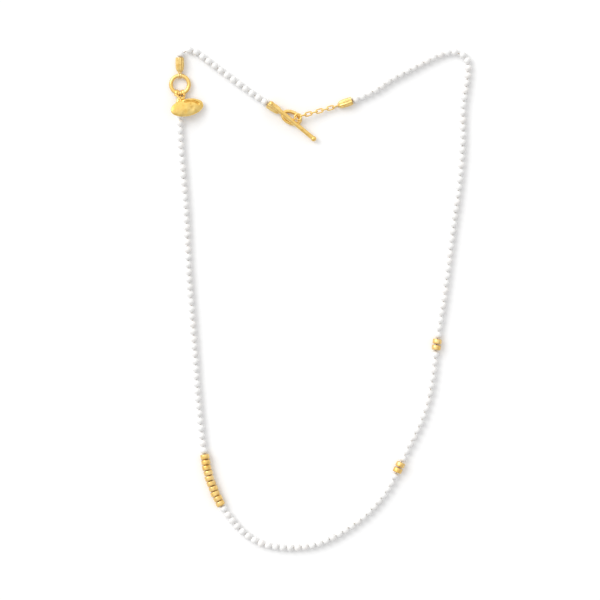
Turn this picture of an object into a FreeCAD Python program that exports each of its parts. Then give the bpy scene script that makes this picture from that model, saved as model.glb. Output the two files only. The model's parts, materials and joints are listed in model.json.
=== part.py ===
"""Pearl necklace with gold spacer beads, a pebble charm and a toggle clasp, laid flat on a table.

Units are millimetres. +Z is up, the table is z = 0, and the origin is under the middle of the necklace.
A strand is a thread with bored beads on it. It is cut into rigid stretches that hinge at a pearl.
"""
import FreeCAD, Part
import math
import os

V = FreeCAD.Vector
UP = V(0, 0, 1)

# ---------------------------------------------------------------- driving dimensions
# pearls and thread
pearl_d = 2.5
pearl_bore = 0.8
pearl_gap = 0.04
thread_d = 0.3
knot_d = 1.1
thread_end_gap = 0.05        # between two lengths of thread at a hinge pearl
least_swept_share = 0.99      # a swept wire with less of its volume than this is reported
bend_share = 0.45            # part of the shorter run that each bend of the thread takes

# gold spacer beads
spacer_d = 3.1
spacer_l = 1.8
spacer_bore = 1.3
spacer_bore_play = 0.1       # least room between the thread and the floor of a gold bead's bore
spacer_gap = 0.09
spacer_rounding = 0.42
spacer_stagger = 0.1
stagger_step = 2.4            # turn of the stagger's wave from one bead to the next, in radians
stagger_start = 0.6
spacer_lean_deg = 1.5
lean_step = 1.7               # turn of the lean's wave from one bead to the next, in radians
long_run_count = 10
pair_count = 2
pair_gap = 0.3

# fluted end caps and their eye pins
cap_l = 4.8
cap_rim_r = 1.4
cap_belly_r = 1.5
cap_belly_share = 0.38       # place of the belly along the cap, from its rim
cap_neck_r = 1.05
cap_cavity_r = 0.95
cap_end_wall = 1.3
flute_count = 10
flute_r = 0.32
flute_depth = 0.17
flute_end_margin = 0.55
flute_neck_proud = 0.22       # how far the flutes' inner ends stand out from the neck
thread_in_cap = 2.2
pin_r = 0.28
pin_hole_clearance = 0.06
pin_stop_r = 0.5
eye_wire_r = 0.2
eye_clearance = 0.13
eye_spacing = 0.66
collar_r = 0.75
collar_l = 0.36
collar_clearance = 0.04
eye_collar_gap = 0.12         # from the end of the cap's clearance to the eye
eye_table_gap = 0.03

# connector ring, bail and charm
ring_d = 7.55
ring_wire_r = 0.675
bail_wire_r = 0.2
bail_clearance = 0.155
bail_half_angle_deg = 23
bail_leg_extra_r = 0.04       # how much thicker the legs are than the eyes
bail_leg_rise_deg = 38.1      # where the legs leave the eyes, above the level
charm_l = 11.9
charm_w = 6.0
charm_dome = 1.0
charm_dome_r = 15.5
charm_back = 0.4
charm_heading_deg = 13.5
charm_roll_deg = 18
charm_hinge_along = -0.95     # place of the charm's tube, from the charm's middle along its length
charm_tube_r = 0.55
charm_tube_l = 1.0
charm_pin_r = 0.25
charm_pin_clearance = 0.06
charm_pin_overhang = 0.3
charm_tube_seat = 0.75        # part of the tube's radius that stands clear of the charm's edge

# toggle clasp and chain
toggle_l = 7.6
toggle_w = 5.1
toggle_wire_r = 0.625
bar_l = 20.9
bar_r = 0.75
bar_ball_r = 0.95
bar_socket_clearance = 0.01
bar_eye_r = 0.8
bar_eye_wire_r = 0.25
bar_eye_out = 1.4
jump_ring_r = 1.1
jump_ring_wire_r = 0.25
link_count = 6
link_w = 1.7
link_wire_r = 0.225
link_slack = 0.12

# ---------------------------------------------------------------- places, as the necklace lies
spacer_z = spacer_d / 2
# The pearls lie on the table, unless the gold beads are so large that their bores carry the thread higher.
strand_z = max(pearl_d / 2, spacer_z - (spacer_bore - thread_d) / 2 + spacer_bore_play)
eye_r = max(ring_wire_r, toggle_wire_r) + eye_clearance + eye_wire_r
eye_outer_r = eye_r + eye_wire_r
eye_z = eye_outer_r + eye_table_gap
eye_reach = cap_l + collar_clearance + eye_collar_gap + eye_outer_r
belly_at = cap_l * cap_belly_share
belly_share = belly_at / eye_reach
cap_z = (cap_belly_r - belly_share * eye_z) / (1 - belly_share)    # the belly touches the table

ring_place = V(-48.4, 74.0, eye_z)
toggle_place = V(-9.93, 62.6, 0.92)
toggle_heading_deg = -24
toggle_dip_deg = 3.6
bar_place = V(-9.55, 61.22, 2.76)
bar_heading_deg = -39.1
bar_dip_deg = 9.0
last_cap_rim = V(11.04, 68.2, cap_z)

charm_cap_heading_deg = 91.5
top_cap_heading_deg = -89.5
clasp_cap_heading_deg = -32.2
chain_cap_heading_deg = 197.3
charm_hinge_place = V(-47.5, 69.0, 3.55)
jump_ring_turn_deg = 24

# The long strand, from the charm's cap down the left side, round the bottom and up the right side.
long_bends = [
    (-48.4, 57.3), (-47.4, 43.8), (-46.2, 30.0), (-45.5, 10.7), (-43.7, -12.4), (-42.3, -33.5),
    (-40.6, -50.0), (-38.5, -61.8), (-34.1, -71.8), (-27.2, -80.4), (-20.1, -84.9), (-10.1, -86.1),
    (-0.1, -84.7), (8.6, -80.0), (17.2, -73.7), (24.1, -65.0), (28.7, -54.7), (35.8, -40.7),
    (38.6, -29.7), (40.2, -15.2), (43.2, 3.1), (45.5, 22.1), (48.1, 39.7), (49.3, 53.1),
    (49.2, 67.3), (50.9, 76.2), (51.2, 83.0), (46.9, 85.6), (42.4, 84.9), (35.8, 81.7),
    (25.1, 76.1), (17.9, 71.2),
]
# The short strand, from the top cap to the clasp. Its first bend is set from the cap's rim.
first_bend_out = 2.75
short_bends = [(-43.8, 86.1), (-39.0, 82.3), (-31.6, 76.8), (-24.5, 71.5)]

# Lengths along the long strand, from the rim of the charm's cap.
long_run_start = 118.6
lower_pair_middle = 216.2
upper_pair_middle = 261.0
corner_gap_middle = 363.8
corner_gap = 0.5
hinge_lengths = [27.0, 70.0, 112.5, 205.0, 251.0, 296.0, 343.6, 376.0]
# Lengths along the short strand, from the rim of the top cap.
first_gap = 1.2
short_hinge_length = 19.0

section_names = ["left_upper", "left_middle", "left_lower", "bottom", "right_lower",
                 "right_middle", "right_upper", "right_top", "top_run"]
root_section = section_names.index("bottom")


# ---------------------------------------------------------------- helpers
def heading(degrees, dip_degrees=0.0):
    """A unit vector at a compass angle from +X, dipping below the horizontal."""
    flat = math.cos(math.radians(dip_degrees))
    angle = math.radians(degrees)
    return V(flat * math.cos(angle), flat * math.sin(angle), -math.sin(math.radians(dip_degrees)))


def placed(shape, origin, z_axis, x_axis=UP):
    """The shape with its own Z along z_axis and its own X as near to x_axis as that allows."""
    z = V(z_axis).normalize()
    y = z.cross(x_axis).normalize()
    x = y.cross(z)
    matrix = FreeCAD.Matrix(
        x.x, y.x, z.x, origin.x, x.y, y.y, z.y, origin.y, x.z, y.z, z.z, origin.z, 0, 0, 0, 1
    )
    return shape.transformed(matrix, True)


def turned(outline):
    """A closed outline of edges in the XZ plane, turned round Z into a solid."""
    return Part.Face(Part.Wire(outline)).revolve(V(0, 0, 0), UP, 360)


def line(a, b):
    return Part.LineSegment(a, b).toShape()


def arc(a, middle, b):
    return Part.Arc(a, middle, b).toShape()


def rod(a, b, radius):
    """A round rod from a to b with ball ends."""
    along = b - a
    solid = Part.makeCylinder(radius, along.Length, a, along)
    return solid.fuse([Part.makeSphere(radius, a), Part.makeSphere(radius, b)]).removeSplitter()


def torus(centre, axis, radius, wire_r):
    return Part.makeTorus(radius, wire_r, centre, axis)


def swept(edges, radius):
    """A round wire that follows the edges."""
    path = Part.Wire(edges)
    first = edges[0]
    start = first.valueAt(first.FirstParameter)
    along = first.tangentAt(first.FirstParameter)
    profile = Part.Wire([Part.makeCircle(radius, start, along)])
    solid = path.makePipeShell([profile], True, False)
    if path.Length * math.pi * radius ** 2 * least_swept_share > abs(solid.Volume):
        print("swept wire is short of volume", path.Length, solid.Volume)
    return Part.Solid(solid) if solid.ShapeType != "Solid" else solid


def parameter(edge, length):
    """The parameter at a length along a straight or circular edge."""
    share = min(max(length / edge.Length, 0.0), 1.0)
    return edge.FirstParameter + share * (edge.LastParameter - edge.FirstParameter)


class Route:
    """A thread's path in a level plane: straight runs joined by tangent arcs."""

    def __init__(self, name, points, height):
        corners = [V(point[0], point[1], height) for point in points]
        self.edges = []
        start = corners[0]
        radii = []
        for before, corner, after in zip(corners, corners[1:], corners[2:]):
            inward = (corner - before).normalize()
            outward = (after - corner).normalize()
            half_turn = inward.getAngle(outward) / 2
            reach = bend_share * min((corner - before).Length, (after - corner).Length)
            radius = reach / math.tan(half_turn)
            radii.append(radius)
            to_centre = (outward - inward).normalize()
            crown = corner + to_centre * (radius / math.cos(half_turn) - radius)
            bend_start = corner - inward * reach
            bend_end = corner + outward * reach
            self.edges.append(line(start, bend_start))
            self.edges.append(arc(bend_start, crown, bend_end))
            start = bend_end
        self.edges.append(line(start, corners[-1]))
        self.ends = []
        total = 0.0
        for edge in self.edges:
            total += edge.Length
            self.ends.append(total)
        self.length = total
        print(name, "length", round(total, 1), "bend radii", [round(r, 1) for r in radii])

    def at(self, length):
        """The point at a length along the route."""
        length = min(max(length, 0.0), self.length)
        for edge, end in zip(self.edges, self.ends):
            if length <= end:
                return edge.valueAt(parameter(edge, length - (end - edge.Length)))
        return self.edges[-1].valueAt(self.edges[-1].LastParameter)

    def bead_place(self, length, bead_l):
        """Centre and direction of a bead, halfway between the path and the chord through the bead."""
        behind = self.at(length - bead_l / 2)
        ahead = self.at(length + bead_l / 2)
        centre = (self.at(length) + (behind + ahead) * 0.5) * 0.5
        return centre, (ahead - behind).normalize()

    def stretch(self, start, end):
        """The edges between two lengths."""
        out = []
        for edge, edge_end in zip(self.edges, self.ends):
            edge_start = edge_end - edge.Length
            low = max(start, edge_start)
            high = min(end, edge_end)
            if high - low < 1e-4:
                continue
            first = parameter(edge, low - edge_start)
            last = parameter(edge, high - edge_start)
            out.append(edge.Curve.toShape(first, last))
        return out

    def thread(self, start, end):
        return swept(self.stretch(start, end), thread_d / 2)


def filled(start, end):
    """Lengths of the middles of as many pearls as fit between two lengths, evenly spread."""
    count = int((end - start) / (pearl_d + pearl_gap))
    pitch = (end - start) / count
    return [start + (k + 0.5) * pitch for k in range(count)]


# ---------------------------------------------------------------- beads
def make_pearl():
    ball = Part.makeSphere(pearl_d / 2)
    bore = Part.makeCylinder(pearl_bore / 2, pearl_d * 2, V(0, 0, -pearl_d))
    return ball.cut(bore)


def make_spacer():
    """A short gold drum with a rounded side."""
    bore_r = spacer_bore / 2
    face_r = spacer_d / 2 - spacer_rounding
    half = spacer_l / 2
    outline = [
        line(V(bore_r, 0, -half), V(face_r, 0, -half)),
        arc(V(face_r, 0, -half), V(spacer_d / 2, 0, 0), V(face_r, 0, half)),
        line(V(face_r, 0, half), V(bore_r, 0, half)),
        line(V(bore_r, 0, half), V(bore_r, 0, -half)),
    ]
    return turned(outline)


def spacer_places(route, middle, count, gap):
    """Centre and axis of each spacer of a run; neighbours sit and lean a little apart."""
    pitch = spacer_l + gap
    places = []
    for k in range(count):
        length = middle + (k - (count - 1) / 2) * pitch
        centre, along = route.bead_place(length, spacer_l)
        side = UP.cross(along)
        shift = spacer_stagger * math.sin(stagger_step * k + stagger_start)
        lean = math.radians(spacer_lean_deg) * math.cos(lean_step * k)
        place = V(centre.x, centre.y, spacer_z) + side * shift
        places.append((place, (along + side * math.tan(lean)).normalize()))
    return places


# ---------------------------------------------------------------- end caps
def make_cap():
    """A fluted cup, open at its rim at z = 0, with a hole for the eye pin in its narrow end."""
    hole_r = pin_r + pin_hole_clearance
    cavity_l = cap_l - cap_end_wall
    outline = [
        line(V(cap_cavity_r, 0, 0), V(cap_rim_r, 0, 0)),
        arc(V(cap_rim_r, 0, 0), V(cap_belly_r, 0, belly_at), V(cap_neck_r, 0, cap_l)),
        line(V(cap_neck_r, 0, cap_l), V(hole_r, 0, cap_l)),
        line(V(hole_r, 0, cap_l), V(hole_r, 0, cavity_l + cap_cavity_r - hole_r)),
        line(V(hole_r, 0, cavity_l + cap_cavity_r - hole_r), V(cap_cavity_r, 0, cavity_l)),
        line(V(cap_cavity_r, 0, cavity_l), V(cap_cavity_r, 0, 0)),
    ]
    cap = turned(outline)
    flutes = []
    for k in range(flute_count):
        angle = 2 * math.pi * k / flute_count
        outward = V(math.cos(angle), math.sin(angle), 0)
        low = outward * (cap_belly_r + flute_r - flute_depth) + UP * flute_end_margin
        high = outward * (cap_neck_r + flute_neck_proud + flute_r - flute_depth)
        high = high + UP * (cap_l - flute_end_margin)
        flutes.append(rod(low, high, flute_r))
    return cap.cut(flutes)


def make_eye_pin(doubled):
    """A pin through the cap's end: a ball stop inside, and outside a collar with one eye or two."""
    inside = cap_l - cap_end_wall - 0.1
    eye_at = V(0, 0, eye_reach)
    pieces = [
        Part.makeSphere(pin_stop_r, V(0, 0, inside)),
        Part.makeCylinder(collar_r, collar_l, V(0, 0, cap_l + collar_clearance)),
    ]
    for side in ((-1, 1) if doubled else (0,)):
        pieces.append(torus(eye_at + V(0, side * eye_spacing / 2, 0), V(0, 1, 0), eye_r, eye_wire_r))
    shank = Part.makeCylinder(pin_r, cap_l + collar_clearance + collar_l / 2 - inside, V(0, 0, inside))
    return shank.fuse(pieces)


class Cap:
    """Where a cap lies: rim, eye, and the direction from rim to eye."""

    def __init__(self, heading_deg, eye=None, rim=None):
        drop = math.degrees(math.asin((cap_z - eye_z) / eye_reach))
        self.along = heading(heading_deg, drop)
        if rim is None:
            rim = V(eye.x, eye.y, eye_z) - self.along * eye_reach
        self.rim = rim
        self.eye = rim + self.along * eye_reach

    def thread_end(self):
        inner = self.rim + self.along * thread_in_cap
        return inner.x, inner.y

    def shapes(self, doubled_eye):
        pin = make_eye_pin(doubled_eye)
        return placed(make_cap(), self.rim, self.along), placed(pin, self.rim, self.along)


# ---------------------------------------------------------------- charm
ring_r = ring_d / 2 - ring_wire_r
charm_long = heading(charm_heading_deg, charm_roll_deg)
charm_side = UP.cross(heading(charm_heading_deg))
charm_face = charm_long.cross(charm_side)


def bail_eye(side):
    """Centre and wire direction of one eye of the bail on the connector ring."""
    angle = math.radians(bail_half_angle_deg) * side
    outward = V(math.sin(angle), -math.cos(angle), 0)
    return ring_place + outward * ring_r, V(math.cos(angle), math.sin(angle), 0)


def make_bail():
    """Two eyes round the ring, and a leg from each down to an end of the charm's pin."""
    radius = ring_wire_r + bail_clearance + bail_wire_r
    rise = math.radians(bail_leg_rise_deg)
    pieces = []
    for side in (-1, 1):
        centre, along = bail_eye(side)
        eye = torus(centre, along, radius, bail_wire_r)
        inward = V(along.y, -along.x, 0) * -1
        low_point = centre + (UP * math.sin(rise) - inward * math.cos(rise)) * radius
        pin_end = charm_hinge_place + charm_long * side * (charm_tube_l / 2 + charm_pin_overhang)
        pieces += [eye, rod(low_point, pin_end, bail_wire_r + bail_leg_extra_r)]
    pin_half = charm_long * (charm_tube_l / 2 + charm_pin_overhang)
    pin = rod(charm_hinge_place - pin_half, charm_hinge_place + pin_half, charm_pin_r)
    return pin.fuse(pieces)


def make_charm():
    """A domed oval pebble with a flat back and a hinge tube on its edge, in its own frame:
    X along the pin, Y away from the charm, Z out of its face, origin at the pin."""
    half_l = charm_l / 2
    half_w = charm_w / 2
    edge = half_w * math.sqrt(1 - (charm_hinge_along / half_l) ** 2)
    middle = V(-charm_hinge_along, -edge - charm_tube_r * charm_tube_seat, 0)
    outline = Part.Wire(Part.Ellipse(V(0, 0, -charm_back), half_l, half_w).toShape())
    disc = Part.Face(outline).extrude(V(0, 0, charm_back + charm_dome))
    dome = Part.makeSphere(charm_dome_r, V(0, 0, charm_dome - charm_dome_r), V(0, 1, 0))
    pebble = disc.common(dome).translated(middle)
    tube = Part.makeCylinder(charm_tube_r, charm_tube_l, V(-charm_tube_l / 2, 0, 0), V(1, 0, 0))
    hole = Part.makeCylinder(charm_pin_r + charm_pin_clearance, charm_tube_l * 3,
                             V(-charm_tube_l * 1.5, 0, 0), V(1, 0, 0))
    solid = pebble.fuse(tube).cut(hole)
    return placed(solid, charm_hinge_place, charm_face, charm_long)


# ---------------------------------------------------------------- clasp
def make_toggle_ring():
    """An oval ring of round wire, one end lifted by the eye that holds it."""
    long_half = toggle_l / 2 - toggle_wire_r
    wide_half = toggle_w / 2 - toggle_wire_r
    oval = Part.Ellipse(V(0, 0, 0), long_half, wide_half)
    solid = swept([oval.toShape()], toggle_wire_r)
    along = heading(toggle_heading_deg, toggle_dip_deg)
    side = UP.cross(heading(toggle_heading_deg))
    return placed(solid, toggle_place, along.cross(side), along)


bar_along = heading(bar_heading_deg, bar_dip_deg)
bar_side = UP.cross(heading(bar_heading_deg))
bar_eye_place = bar_place + bar_side * bar_eye_out
jump_ring_place = bar_eye_place + heading(jump_ring_turn_deg) * jump_ring_r


def make_bar():
    """A round bar with an eye soldered to the middle of its side."""
    half = bar_along * (bar_l / 2 - bar_ball_r)
    bar = Part.makeCylinder(bar_r, bar_l - 2 * bar_ball_r, bar_place - half, bar_along)
    return bar.fuse(torus(bar_eye_place, bar_along, bar_eye_r, bar_eye_wire_r))


def make_bar_balls():
    """The two balls that close the bar's ends, each bored to take the end of the bar."""
    socket_r = bar_r + bar_socket_clearance
    mouth = -math.sqrt(bar_ball_r ** 2 - socket_r ** 2)
    outline = [
        line(V(0, 0, bar_socket_clearance), V(0, 0, bar_ball_r)),
        arc(V(0, 0, bar_ball_r), V(bar_ball_r, 0, 0), V(socket_r, 0, mouth)),
        line(V(socket_r, 0, mouth), V(socket_r, 0, bar_socket_clearance)),
        line(V(socket_r, 0, bar_socket_clearance), V(0, 0, bar_socket_clearance)),
    ]
    ball = turned(outline)
    half = bar_l / 2 - bar_ball_r
    return Part.makeCompound(
        [placed(ball, bar_place + bar_along * half * side, bar_along * side) for side in (-1, 1)]
    )


def make_link(inner_half):
    """An oval chain link, long along X and flat in XY."""
    bend_r = link_w / 2 - link_wire_r
    straight = inner_half + link_wire_r - bend_r
    right = V(straight, 0, 0)
    left = V(-straight, 0, 0)
    side = V(0, bend_r, 0)
    tip = V(bend_r, 0, 0)
    return swept([
        line(left - side, right - side),
        arc(right - side, right + tip, right + side),
        line(right + side, left + side),
        arc(left + side, left - tip, left - side),
    ], link_wire_r)


# ---------------------------------------------------------------- assembly
nodes = {}
pivots = {}


def build_caps():
    caps = {
        "charm": Cap(charm_cap_heading_deg, eye=ring_place - V(0, ring_r, 0)),
        "top": Cap(top_cap_heading_deg, eye=ring_place + V(0, ring_r, 0)),
        "clasp": Cap(clasp_cap_heading_deg,
                     eye=toggle_place - heading(toggle_heading_deg) * (toggle_l / 2 - toggle_wire_r)),
        "chain": Cap(chain_cap_heading_deg, rim=last_cap_rim),
    }
    for name, cap in caps.items():
        doubled_eye = name in ("charm", "top")
        nodes[name + "_end_cap"], nodes[name + "_eye_pin"] = cap.shapes(doubled_eye)
    return caps


def pearls_and_thread(route, name, pearl_lengths, start, end, knots):
    pearl = make_pearl()
    group = []
    for length in pearl_lengths:
        centre, along = route.bead_place(length, pearl_d)
        group.append(placed(pearl, centre, along))
    nodes["pearls_" + name] = Part.makeCompound(group)
    thread = route.thread(start, end)
    for length in knots:
        thread = thread.fuse(Part.makeSphere(knot_d / 2, route.at(length)))
    nodes["thread_" + name] = thread


def build_long_strand(caps):
    points = [caps["charm"].thread_end()] + long_bends + [caps["chain"].thread_end()]
    route = Route("long strand", points, strand_z)
    rim = thread_in_cap
    finish = route.length - thread_in_cap - 2 * pearl_gap
    run_l = long_run_count * (spacer_l + spacer_gap)
    pair_l = pair_count * (spacer_l + pair_gap)
    runs = [
        (rim + long_run_start + run_l / 2, long_run_count, run_l, spacer_gap),
        (rim + lower_pair_middle, pair_count, pair_l, pair_gap),
        (rim + upper_pair_middle, pair_count, pair_l, pair_gap),
    ]
    lengths = []
    start = rim + 2 * pearl_gap
    for middle, count, run_length, gap in runs:
        lengths += filled(start, middle - run_length / 2)
        start = middle + run_length / 2
    corner = rim + corner_gap_middle
    lengths += filled(start, corner - corner_gap / 2)
    lengths += filled(corner + corner_gap / 2, finish)

    hinges = [min(lengths, key=lambda s: abs(s - rim - wanted)) for wanted in hinge_lengths]
    pearl_r = pearl_d / 2
    for k, name in enumerate(section_names):
        low = hinges[k - 1] if k > 0 else None
        high = hinges[k] if k < len(hinges) else None
        owns_low = low is not None and k <= root_section
        owns_high = high is not None and k >= root_section
        own = [s for s in lengths
               if (low is None or s > low or (owns_low and s == low))
               and (high is None or s < high or (owns_high and s == high))]
        start, end, knots = 0.0, route.length, []
        if low is None:
            knots.append(start)
        else:
            start = low - pearl_r if owns_low else low + pearl_r + thread_end_gap
        if high is None:
            knots.append(end)
        else:
            end = high + pearl_r if owns_high else high - pearl_r - thread_end_gap
        pearls_and_thread(route, name, own, start, end, knots)
        if low is not None and k > root_section:
            pivots[name] = (route.bead_place(low, pearl_d)[0], UP)
        if high is not None and k < root_section:
            pivots[name] = (route.bead_place(high, pearl_d)[0], UP)

    spacer = make_spacer()
    number = 1
    for middle, count, run_length, gap in runs:
        for centre, along in spacer_places(route, middle, count, gap):
            name = "gold_bead_%02d" % number
            nodes[name] = placed(spacer, centre, along)
            pivots[name] = (centre, along)
            number += 1
    return route


def build_short_strand(caps):
    top_cap = caps["top"]
    first_bend = top_cap.rim - top_cap.along * first_bend_out
    points = [top_cap.thread_end(), (first_bend.x, first_bend.y)] + short_bends
    points.append(caps["clasp"].thread_end())
    route = Route("short strand", points, strand_z)
    rim = thread_in_cap
    finish = route.length - thread_in_cap - 2 * pearl_gap
    first = rim + 2 * pearl_gap + pearl_d / 2
    lengths = [first] + filled(first + pearl_d / 2 + first_gap, finish)
    hinge = min(lengths, key=lambda s: abs(s - rim - short_hinge_length))
    hinge_end = hinge + pearl_d / 2
    pearls_and_thread(route, "short_start", [s for s in lengths if s <= hinge], 0.0, hinge_end, [0.0])
    pearls_and_thread(route, "short_end", [s for s in lengths if s > hinge],
                      hinge_end + thread_end_gap, route.length, [route.length])
    pivots["short_end"] = (route.bead_place(hinge, pearl_d)[0], UP)


def build_ring_and_charm(caps):
    nodes["connector_ring"] = torus(ring_place, UP, ring_r, ring_wire_r)
    nodes["charm_bail"] = make_bail()
    nodes["pebble_charm"] = make_charm()
    pivots["connector_ring"] = (caps["charm"].eye, UP)
    pivots["short_start"] = (caps["top"].eye, UP)
    pivots["charm_bail"] = ((bail_eye(-1)[0] + bail_eye(1)[0]) * 0.5, V(-1, 0, 0))
    pivots["pebble_charm"] = (charm_hinge_place, charm_long * -1)


def build_clasp(caps):
    nodes["toggle_ring"] = make_toggle_ring()
    nodes["toggle_bar"] = make_bar()
    nodes["bar_end_balls"] = make_bar_balls()
    nodes["jump_ring"] = torus(jump_ring_place, UP, jump_ring_r, jump_ring_wire_r)
    pivots["toggle_ring"] = (caps["clasp"].eye, UP)

    eye_inner = eye_r - eye_wire_r
    jump_inner = jump_ring_r - jump_ring_wire_r
    start = caps["chain"].eye
    span = jump_ring_place - start
    along = V(span).normalize()
    inner_half = (span.Length - eye_inner - jump_inner + (link_count + 1) * link_slack) / (2 * link_count)
    pitch = 2 * inner_half - link_slack
    link = make_link(inner_half)
    side = UP.cross(along).normalize()
    lift_axis = side * -1
    for k in range(link_count):
        reach = eye_inner + inner_half - link_slack + k * pitch
        flat = k % 2 == 0
        face = along.cross(side) if flat else side
        name = "chain_link_%d" % (k + 1)
        nodes[name] = placed(link, start + along * reach, face, along)
        joint_at = start if k == 0 else start + along * (reach - pitch / 2)
        pivots[name] = (joint_at, lift_axis)
    pivots["jump_ring"] = (jump_ring_place - along * jump_ring_r, lift_axis)
    pivots["toggle_bar"] = (bar_eye_place, bar_along * -1)
    print("chain link inner half length", round(inner_half, 3), "pitch", round(pitch, 3))


def centred():
    """The shift that puts the middle of the necklace's footprint at the origin."""
    box = Part.makeCompound(list(nodes.values())).optimalBoundingBox()
    return V(-(box.XMin + box.XMax) / 2, -(box.YMin + box.YMax) / 2, -box.ZMin)


all_caps = build_caps()
long_route = build_long_strand(all_caps)
build_short_strand(all_caps)
build_ring_and_charm(all_caps)
build_clasp(all_caps)
shift = centred()

os.makedirs("parts", exist_ok=True)
for node_name, node_shape in nodes.items():
    nodes[node_name] = node_shape.translated(shift)
    nodes[node_name].exportStep("parts/" + node_name + ".step")
for pivot_name, (pivot_point, pivot_axis) in pivots.items():
    pivots[pivot_name] = (pivot_point + shift, pivot_axis)
print("nodes", len(nodes), "shift", shift)
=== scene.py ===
import json
import math
import random

import bmesh
import bpy
from mathutils import Matrix, Vector

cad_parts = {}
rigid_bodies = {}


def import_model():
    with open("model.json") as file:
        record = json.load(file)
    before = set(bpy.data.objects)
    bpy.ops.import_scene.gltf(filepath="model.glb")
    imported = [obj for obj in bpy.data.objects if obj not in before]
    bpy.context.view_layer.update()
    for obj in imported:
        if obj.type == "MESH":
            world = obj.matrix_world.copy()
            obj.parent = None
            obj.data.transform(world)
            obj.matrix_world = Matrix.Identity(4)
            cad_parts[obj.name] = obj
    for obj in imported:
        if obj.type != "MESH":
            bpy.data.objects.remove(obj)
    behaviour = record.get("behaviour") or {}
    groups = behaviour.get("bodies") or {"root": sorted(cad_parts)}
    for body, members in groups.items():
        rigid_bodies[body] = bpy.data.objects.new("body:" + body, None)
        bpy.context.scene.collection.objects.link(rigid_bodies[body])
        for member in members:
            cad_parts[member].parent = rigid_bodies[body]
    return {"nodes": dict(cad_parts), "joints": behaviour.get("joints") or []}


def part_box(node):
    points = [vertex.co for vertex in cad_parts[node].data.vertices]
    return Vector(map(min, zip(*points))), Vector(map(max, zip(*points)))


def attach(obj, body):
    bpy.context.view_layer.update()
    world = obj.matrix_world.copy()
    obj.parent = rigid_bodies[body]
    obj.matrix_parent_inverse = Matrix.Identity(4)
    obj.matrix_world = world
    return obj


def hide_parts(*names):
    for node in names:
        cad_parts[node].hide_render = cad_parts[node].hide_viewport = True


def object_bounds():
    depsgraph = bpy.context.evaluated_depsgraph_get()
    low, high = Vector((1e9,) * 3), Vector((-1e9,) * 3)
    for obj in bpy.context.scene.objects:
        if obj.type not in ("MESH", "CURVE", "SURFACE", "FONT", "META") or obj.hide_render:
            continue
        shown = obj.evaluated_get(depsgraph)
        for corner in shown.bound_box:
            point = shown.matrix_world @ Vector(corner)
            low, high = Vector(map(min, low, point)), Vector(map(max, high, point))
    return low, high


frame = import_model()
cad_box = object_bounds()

# A pearl necklace laid out on a table: a long and a short strand of small pearls, with hammered gold beads
# on the long one, fluted gold end caps, a connector ring with a pebble charm, and a bar and ring clasp on
# a short chain.

MM = 0.001
UP = Vector((0, 0, 1))

# ---------------------------------------------------------------- sizes, in metres unless a line says otherwise
pearl_across = 2.5 * MM
pearl_bore = 0.66 * MM
pearl_kinds = 8
pearl_widths = (1.05, 1.02, 1.06, 1.0, 1.04, 1.03, 1.07, 1.01)      # shares of a true ball's width,
pearl_depths = (1.0, 1.03, 1.02, 1.01, 1.0, 1.05, 1.03, 1.02)       # of its depth, and of its length
pearl_lengths = (0.975, 0.985, 0.96, 0.99, 0.97, 0.98, 0.95, 0.985)  # along the bore
pearl_lumps = 0.07 * MM
thread_across = 0.3 * MM
thread_turn = 1.1 * MM          # length of one turn of the two plies
knot_across = 0.9 * MM
bead_across = 3.1 * MM
bead_long = 1.73 * MM
bead_bore = 1.3 * MM
bail_spread = 23                # half the angle between the two prongs, round the ring
bail_wide = 0.95 * MM
bail_thick = 0.42 * MM
bail_play = 0.10 * MM
bail_foot_wide = 0.42 * MM
bail_pin_across = 0.5 * MM
bail_grain = 0.06 * MM          # grain at which the prongs, bands and pin melt into one casting
cap_hole = 0.7 * MM
cap_wall = 0.3 * MM
cap_flutes = 10
cap_floor_across = 2.2 * MM     # the floor behind the mouth, which the knot pulls against
cap_floor_hole = 0.5 * MM
cap_floor_thick = 0.2 * MM
cap_floor_deep = 0.85 * MM
cap_mouth_lip = 0.2 * MM        # plain band between the mouth and the flutes
cap_flute_depths = ((-0.1, 0.2, 0.83), (0.2, 0.5, 0.87), (0.5, 0.8, 0.965))    # from, to, share of the radius
cap_outline = ((0.0, 1.37), (0.35, 1.44), (1.0, 1.48), (1.9, 1.49), (2.8, 1.47), (3.5, 1.41),
               (4.05, 1.34), (4.5, 1.20), (4.8, 0.98))     # along and out, in millimetres
charm_wide = 6.0 * MM
charm_dome = 1.0 * MM
charm_cut = 0.16 * MM           # height at which the dome is cut from its ball
lip_raise = 0.32 * MM
lip_groove = 0.26 * MM
knuckle_long = 1.0 * MM
knuckle_across = 1.1 * MM
knuckle_bore = 0.62 * MM
table_drop = 0.01 * MM          # the table top lies this far under the lowest point

camera_place = (-0.00703, -0.00043)
camera_lens = 160
camera_sensor = 36
field_across = 0.207            # width of the view at the middle of the pearls
pearl_middle = 1.4 * MM

window_strength = 1.2
window_spread = 34              # degrees
window_from = Vector((-0.8, 0.55, 0.86))
room_from = Vector((-0.3, 0.68, 0.66)).normalized()
room_dimmest, room_brightest = 0.36, 1.0
shine_dimmest, shine_brightest = 0.55, 1.32
table_tones = ((0.955, 0.955, 0.955, 1), (0.965, 0.965, 0.965, 1))
table_lift = 0.05               # takes the plain table top up to white where it is only looked at

# the strands, from one cap to the other, with the body that each stretch moves with
long_strand = ["left_upper", "left_middle", "left_lower", "bottom", "right_lower",
               "right_middle", "right_upper", "right_top", "top_run"]
long_caps = ("charm_end_cap", "chain_end_cap")
short_strand = ["short_start", "short_end"]
short_caps = ("top_end_cap", "clasp_end_cap")
gold_beads = ["gold_bead_%02d" % number for number in range(1, 15)]

chance = random.Random(11)


# ---------------------------------------------------------------- working at the bench
def put_down_everything():
    for obj in list(bpy.context.selected_objects):
        obj.select_set(False)


def pick_up(obj):
    """Makes the piece the only one selected, and the active one."""
    put_down_everything()
    obj.select_set(True)
    bpy.context.view_layer.objects.active = obj


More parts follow.
